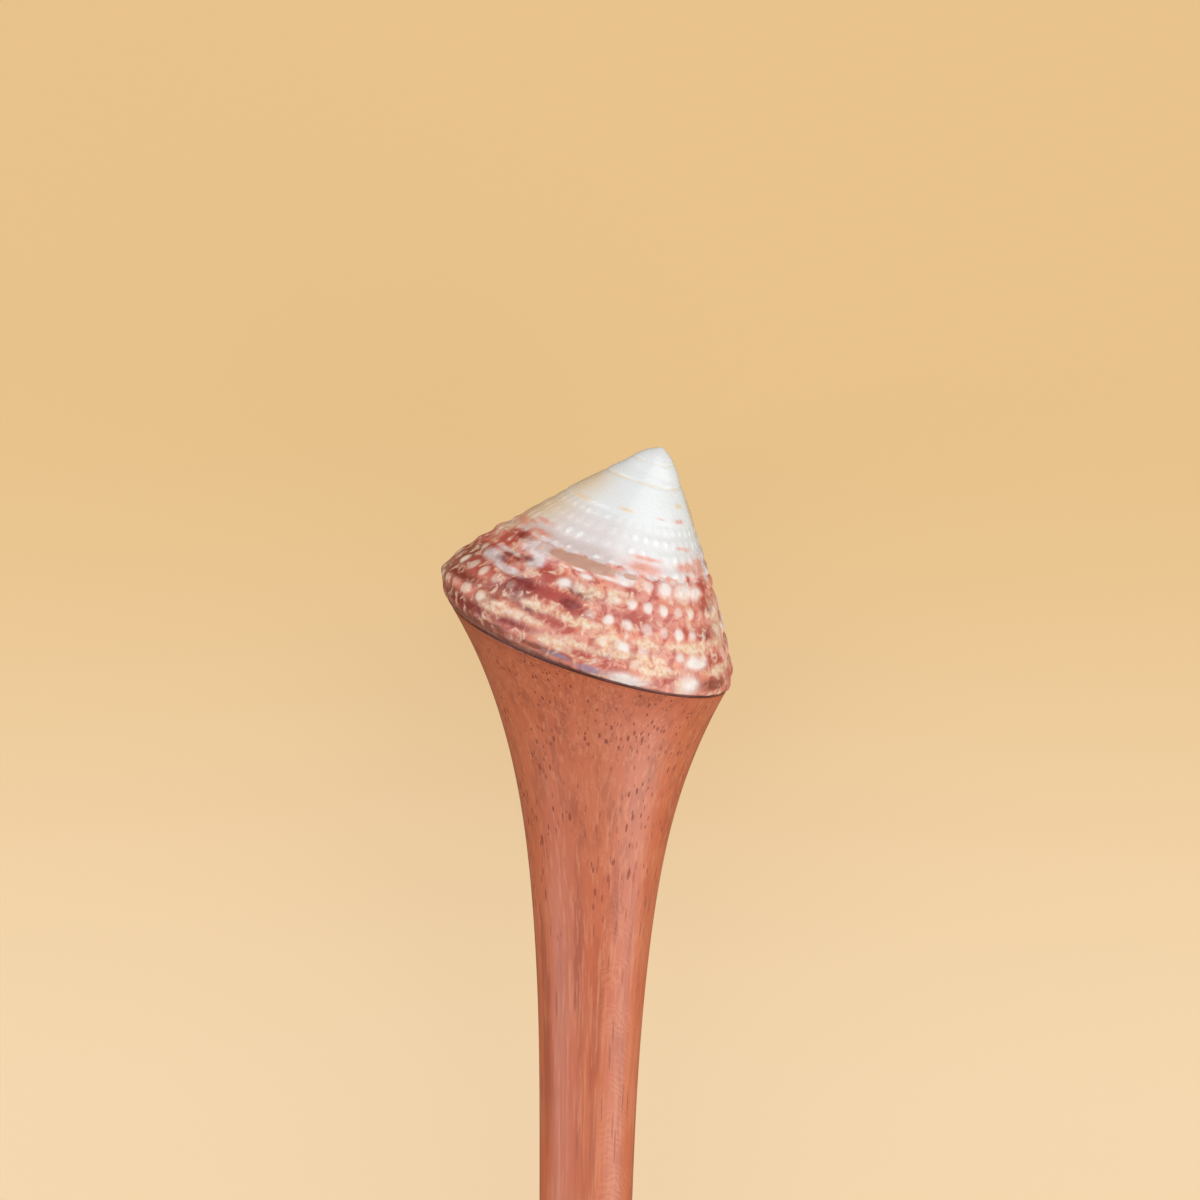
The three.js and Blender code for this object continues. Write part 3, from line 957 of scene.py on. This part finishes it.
def open_pores(nodes, place, split):
    """Short pores crowded on the flare and long ones all down the stick."""
    share, pore = nodes.share, pore_group()
    sides = nodes.between(nodes.math("ABSOLUTE", split["X"]), 1.0, 4.0)
    crowd = nodes.math("MULTIPLY_ADD", sides, 0.10, nodes.noise(place, 0.28, 1.0))
    dense = share(nodes.between(crowd, 0.52, 0.58), nodes.between(split["Z"], -26.0, -14.0))
    size = share(nodes.noise(place, 1.3, 1.0), 0.50)
    short = place_group(nodes, pore, {"Place": place, "Across": 2.7, "Along": 0.50,
                                      "Width": size})["Mask"]
    long = place_group(nodes, pore, {"Place": place, "Across": 2.4, "Along": 0.12,
                                     "Width": 0.19})["Mask"]
    return nodes.math("MAXIMUM", share(short, dense), share(long, 0.55))


def make_wood_material(scene):
    looks = scene.hair_stick_finishes
    material, nodes, shader = new_material("Oiled red hardwood")
    place = own_place(nodes, stick_place(scene))
    split = nodes.add("ShaderNodeSeparateXYZ", [place]).outputs
    wood, streak = wood_grain(nodes, looks, place, split)
    pores = open_pores(nodes, place, split)
    wood = nodes.over(wood, looks.pore, pores, 0.82)
    # Glue at the seam, with painted shadow under the shell's overhang on the left.
    wood = nodes.over(wood, looks.wood_dark, seam_glue_and_painted_shadow(nodes, scene), 0.55)
    nodes.feed(shader.inputs["Base Color"], wood)

    rough = nodes.math("MULTIPLY_ADD", wear_at(nodes, place)["Fine"], 0.14, 0.30)
    nodes.feed(shader.inputs["Roughness"], nodes.math("MULTIPLY_ADD", pores, 0.25, rough))
    relief = nodes.math("SUBTRACT", nodes.share(streak, 0.35), pores)
    nodes.feed(shader.inputs["Normal"], nodes.bump(relief, 0.30, 0.00012))
    shader.inputs["Coat Weight"].default_value = 0.32
    shader.inputs["Coat Roughness"].default_value = 0.34
    return material


def make_glue_material(scene):
    looks = scene.hair_stick_finishes
    material, nodes, shader = new_material("Set brown glue")
    wear = wear_at(nodes, own_place(nodes, head_place(scene)))
    lighter = tuple(channel * 1.9 for channel in looks.glue)
    nodes.feed(shader.inputs["Base Color"],
               nodes.mix(nodes.between(wear["Broad"], 0.4, 0.65), looks.glue, lighter))
    nodes.feed(shader.inputs["Roughness"], nodes.math("MULTIPLY_ADD", wear["Fine"], 0.3, 0.22))
    nodes.feed(shader.inputs["Normal"], nodes.bump(wear["Fine"], 0.3, 0.00005))
    return material


# Where the table's painted darkening starts and ends, in metres ahead of the object's middle,
# and how much of its colour it gives off by itself as a painted glow, seen straight and in its
# light on other things.
TABLE_NEAR, TABLE_FAR = 0.016, 0.073
GLOW_SEEN, GLOW_BOUNCED = 0.80, 0.08


def make_table_material(scene):
    """A table that gives off its own colour as a painted glow, so it shows almost no shadow,
    with a painted darkening away from the near side.
    """
    looks = scene.hair_stick_finishes
    material, nodes, shader = new_material("Pale table")
    place = nodes.add("ShaderNodeTexCoord").outputs["Object"]
    along = nodes.add("ShaderNodeSeparateXYZ", [place]).outputs["Y"]
    soft = nodes.math("MULTIPLY_ADD", nodes.noise(place, 9.0, 2.0, 0.5), 0.006, along)
    # Painted darkening of the table away from the near side.
    tone = nodes.mix(nodes.between(soft, TABLE_NEAR, TABLE_FAR), looks.table, looks.table_far_painted_dim)
    # Painted glow: the table gives off its colour, more for the camera than in its light on
    # other things.
    seen = nodes.add("ShaderNodeLightPath").outputs["Is Camera Ray"]
    glow = nodes.math("MULTIPLY_ADD", seen, GLOW_SEEN - GLOW_BOUNCED, GLOW_BOUNCED)
    nodes.feed(shader.inputs["Emission Color"], nodes.mix(glow, (0, 0, 0), tone))
    shader.inputs["Emission Strength"].default_value = 1.0
    nodes.feed(shader.inputs["Base Color"], nodes.mix(1 - GLOW_SEEN, (0, 0, 0), tone))
    shader.inputs["Roughness"].default_value = 0.9
    shader.inputs["Specular IOR Level"].default_value = 0.05
    return material


# ---- Stage: table, lights and camera

# Width of the view at the rim, and how far its middle lies from the rim, in metres.
VIEW_WIDTH = 0.0865
VIEW_SIDE, VIEW_AHEAD = 0.00076, 0.00324
CAMERA_LENS = 110.0
VIEW_ROLL = math.radians(1.2)
TABLE_HALF_SIZE = 2.5
TABLE_DROP = 0.02 * MM
WORLD_COLOUR, WORLD_STRENGTH = (1.0, 0.985, 0.965, 1.0), 0.48

# Each light's name, direction from the rim, distance, size, power in watts and tint.
LIGHTS = (
    ("Overhead softbox", (0.52, 0.68, 0.52), 0.55, (0.42, 0.36), 0.78, (1.0, 0.99, 0.985)),
    ("Far left fill", (-0.62, 0.66, 0.42), 0.60, (0.40, 0.40), 1.00, (1.0, 0.985, 0.975)),
    ("Left strip", (-0.78, -0.20, 0.60), 0.45, (0.11, 0.60), 0.68, (1.0, 0.95, 1.0)),
    ("Right softbox", (0.86, -0.48, 0.22), 0.60, (0.60, 0.60), 2.30, (1.0, 0.98, 0.95)),
    ("Right edge light", (0.95, 0.30, 0.12), 0.60, (0.30, 0.50), 0.75, (1.0, 0.98, 0.95)),
    ("Near fill", (0.35, -0.82, 0.45), 0.70, (0.60, 0.50), 0.60, (1.0, 0.99, 0.98)),
)


def add_light(name, direction, distance, size, power, tint, aim):
    """A soft area light, square on to what it lights."""
    data = bpy.data.lights.new(name, "AREA")
    data.shape = "RECTANGLE"
    data.size, data.size_y = size
    data.energy = power
    data.color = tint
    lamp = bpy.data.objects.new(name, data)
    towards = Vector(direction).normalized()
    lamp.location = aim + towards * distance
    lamp.rotation_mode = "QUATERNION"
    lamp.rotation_quaternion = towards.to_track_quat("Z", "Y")
    bpy.context.scene.collection.objects.link(lamp)


def make_stage(scene):
    table = bpy.data.meshes.new("table")
    bm = bmesh.new()
    bmesh.ops.create_grid(bm, x_segments=1, y_segments=1, size=TABLE_HALF_SIZE)
    bmesh.ops.translate(bm, vec=(0, 0, -TABLE_DROP), verts=bm.verts[:])
    bm.to_mesh(table)
    bm.free()
    table.materials.append(make_table_material(scene))
    top = bpy.data.objects.new("table", table)
    scene.collection.objects.link(top)

    rim = head_place(scene).translation
    for light in LIGHTS:
        add_light(*light, rim)

    world = bpy.data.worlds.new("Studio")
    world.use_nodes = True
    background = world.node_tree.nodes["Background"]
    background.inputs["Color"].default_value = WORLD_COLOUR
    background.inputs["Strength"].default_value = WORLD_STRENGTH
    scene.world = world
    scene.view_settings.view_transform = "Standard"

    camera_data = bpy.data.cameras.new("Camera")
    camera_data.lens = CAMERA_LENS
    distance = VIEW_WIDTH * CAMERA_LENS / camera_data.sensor_width
    camera_data.clip_start, camera_data.clip_end = 0.01, 10.0
    camera = bpy.data.objects.new("Camera", camera_data)
    roll = Matrix.Rotation(VIEW_ROLL, 4, "Z")
    aim = rim + roll @ Vector((VIEW_SIDE, VIEW_AHEAD, 0))
    camera.matrix_world = Matrix.Translation(aim + Vector((0, 0, distance))) @ roll
    scene.collection.objects.link(camera)
    scene.camera = camera


# ---- Operators and panel

class HAIRSTICK_OT_shell(bpy.types.Operator):
    """Make the worn, beaded top shell"""

    bl_idname = "hairstick.shell"
    bl_label = "Top shell"

    def execute(self, context):
        make_shell(context.scene, make_shell_material(context.scene))
        return {"FINISHED"}


class HAIRSTICK_OT_glue(bpy.types.Operator):
    """Make the seam of glue under the shell"""

    bl_idname = "hairstick.glue"
    bl_label = "Glue seam"

    def execute(self, context):
        make_glue(context.scene, make_glue_material(context.scene))
        return {"FINISHED"}


class HAIRSTICK_OT_stick(bpy.types.Operator):
    """Make the turned wooden stick"""

    bl_idname = "hairstick.stick"
    bl_label = "Wooden stick"

    def execute(self, context):
        make_stick(context.scene, make_wood_material(context.scene))
        return {"FINISHED"}


class HAIRSTICK_OT_stage(bpy.types.Operator):
    """Set the table, the lights and the camera"""

    bl_idname = "hairstick.stage"
    bl_label = "Stage"

    def execute(self, context):
        make_stage(context.scene)
        return {"FINISHED"}


OPERATORS = (HAIRSTICK_OT_shell, HAIRSTICK_OT_glue, HAIRSTICK_OT_stick, HAIRSTICK_OT_stage)


class HAIRSTICK_PT_panel(bpy.types.Panel):
    """Lists the pieces of the hair stick"""

    bl_label = "Shell hair stick"
    bl_idname = "HAIRSTICK_PT_panel"
    bl_space_type = "VIEW_3D"
    bl_region_type = "UI"
    bl_category = "Hair stick"

    def draw(self, context):
        for operator in OPERATORS:
            self.layout.operator(operator.bl_idname)


CLASSES = (StickSizes, ShellSizes, Finishes, *OPERATORS, HAIRSTICK_PT_panel)


def register():
    for item in CLASSES:
        bpy.utils.register_class(item)
    bpy.types.Scene.stick_sizes = PointerProperty(type=StickSizes)
    bpy.types.Scene.shell_sizes = PointerProperty(type=ShellSizes)
    bpy.types.Scene.hair_stick_finishes = PointerProperty(type=Finishes)


def unregister():
    del bpy.types.Scene.hair_stick_finishes
    del bpy.types.Scene.shell_sizes
    del bpy.types.Scene.stick_sizes
    for item in reversed(CLASSES):
        bpy.utils.unregister_class(item)


def main():
    register()
    wear_group()
    seam_glue_and_shadow_group(bpy.context.scene.shell_sizes.flat_gap)
    bpy.ops.hairstick.shell()
    bpy.ops.hairstick.glue()
    bpy.ops.hairstick.stick()
    bpy.ops.hairstick.stage()


if __name__ == "__main__":
    main()
